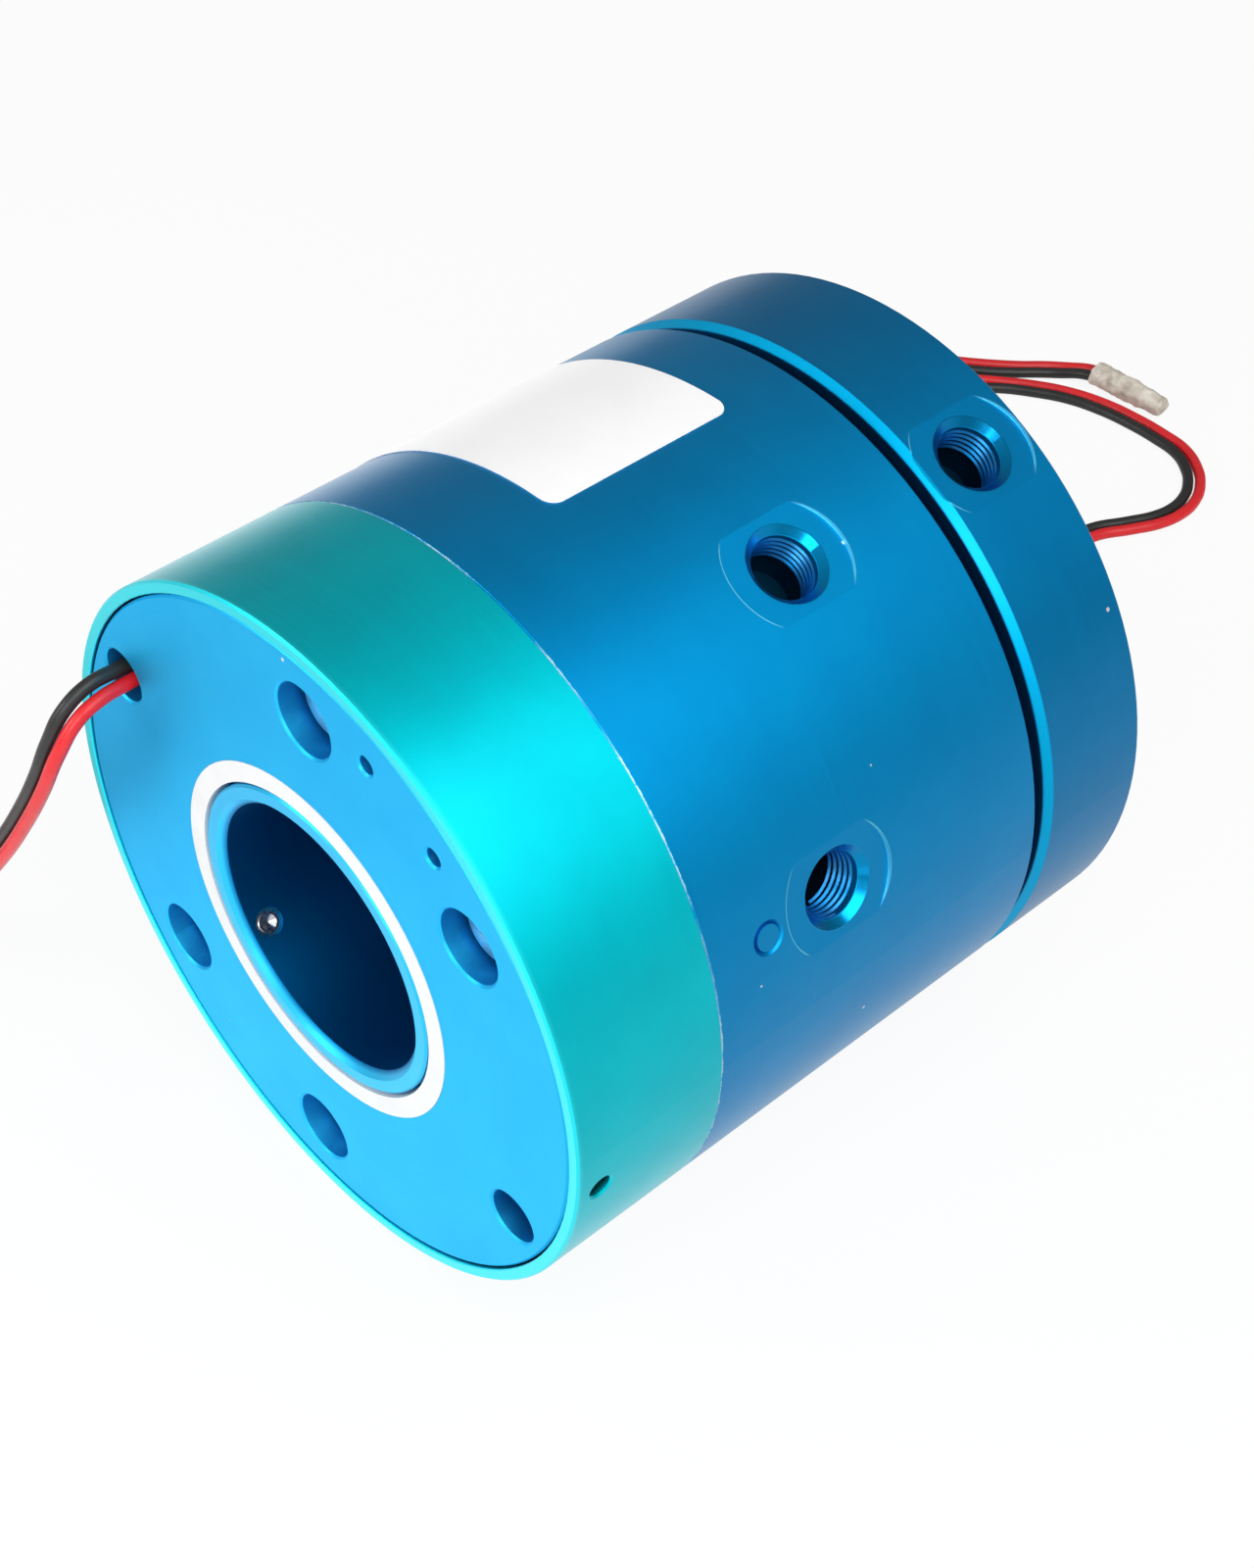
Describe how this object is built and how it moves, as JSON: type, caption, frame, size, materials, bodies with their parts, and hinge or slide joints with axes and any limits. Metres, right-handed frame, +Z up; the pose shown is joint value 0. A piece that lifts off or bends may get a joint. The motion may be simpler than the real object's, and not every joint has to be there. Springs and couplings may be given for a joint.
{
  "type": "pneumatic rotary union",
  "caption": "Round through-bore rotary union that passes compressed air and low-power electric leads between a fixed and a turning part.",
  "frame": {"origin": "on the bore's axis, half-way between the front rim and the rear face", "axes": "+Y along the bore from the front cover to the rear flange, +Z up as the object lies, +X to the right seen from the front"},
  "size_m": [0.1633, 0.2732, 0.0991],
  "materials": {
    "anodised_teal": "satin anodised teal, fine turning lines",
    "anodised_light_blue": "matt anodised light blue",
    "anodised_blue": "satin anodised blue",
    "screw_steel": "plain steel",
    "black_steel": "black oxide",
    "bearing_steel": "ground steel",
    "cage_brass": "pressed brass",
    "contact_metal": "plated contact metal",
    "white_polymer": "white low-friction polymer",
    "black_rubber": "nitrile rubber",
    "insulator": "moulded insulating resin",
    "label_white": "bare white label film",
    "wire_red": "red wire insulation",
    "wire_black": "black wire insulation",
    "tape_beige": "creased paper tape"
  },
  "bodies": {
    "rotor": {"rotor_shaft": "anodised_blue", "rear_flange": "anodised_blue", "flange_screws": "screw_steel", "flange_orings": "black_rubber", "shaft_set_screws": "screw_steel", "front_bearing_inner": "bearing_steel", "front_bearing_balls": "bearing_steel", "front_bearing_cage": "cage_brass", "rear_bearing_inner": "bearing_steel", "rear_bearing_balls": "bearing_steel", "rear_bearing_cage": "cage_brass", "shaft_circlip": "black_steel", "ring_sleeve": "insulator", "contact_rings": "contact_metal", "rear_lead_red": "wire_red", "rear_lead_black": "wire_black", "lead_tape": "tape_beige"},
    "stator": {"slip_ring_housing": "anodised_teal", "front_cover": "anodised_light_blue", "cover_screws": "screw_steel", "housing_screws": "black_steel", "dust_ring": "white_polymer", "port_body": "anodised_blue", "flush_plug": "anodised_blue", "label": "label_white", "front_bearing_outer": "bearing_steel", "rear_bearing_outer": "bearing_steel", "body_circlip": "black_steel", "air_seals": "white_polymer", "seal_orings": "black_rubber", "brush_block": "insulator", "brushes": "contact_metal", "front_lead_red": "wire_red", "front_lead_black": "wire_black", "front_lead_coil": "wire_red"}
  },
  "joints": [
    {"name": "union_spin", "type": "hinge", "parent": "rotor", "child": "stator", "pos_m": [0, 0, 0], "axis": [0, 1, 0], "continuous": true}
  ]
}
